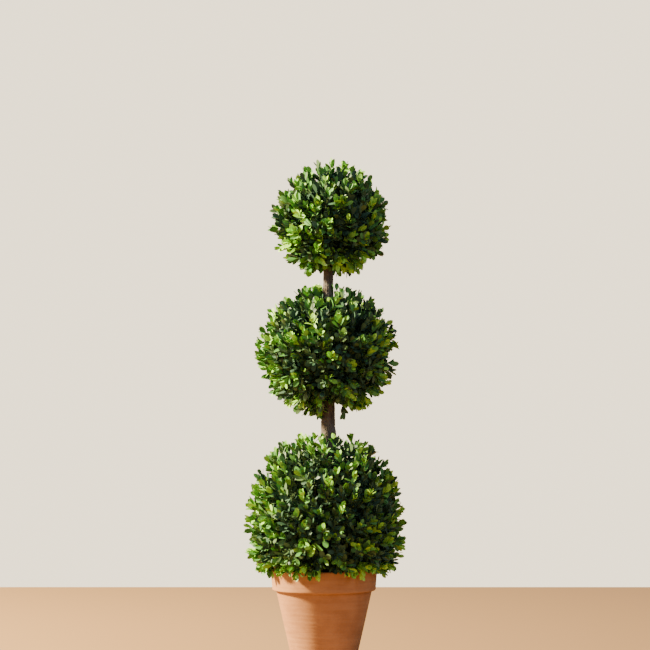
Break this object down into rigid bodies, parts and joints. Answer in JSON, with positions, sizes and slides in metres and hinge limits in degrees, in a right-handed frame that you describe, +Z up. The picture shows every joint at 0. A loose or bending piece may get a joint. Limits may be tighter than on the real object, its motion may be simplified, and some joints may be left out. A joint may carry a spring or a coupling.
{
  "type": "triple ball topiary in a terracotta pot",
  "caption": "Clipped evergreen topiary in a terracotta pot, with ball-shaped masses of small leaves spaced up a slender trunk.",
  "frame": {"origin": "centre of the pot's flat underside, which stands on the ground at z = 0", "axes": "+Z up along the trunk; +Y away from the front, the side that the picture shows; +X to the right as seen from the front"},
  "size_m": [0.3789, 0.3786, 1.1882],
  "materials": {
    "terracotta": "unglazed matte",
    "soil": "rough",
    "bark": "rough",
    "leaves": "waxy satin"
  },
  "bodies": {
    "root": {"pot": "terracotta", "soil": "soil", "trunk": "bark", "foliage_top": "leaves", "foliage_middle": "leaves", "foliage_bottom": "leaves"}
  },
  "joints": []
}
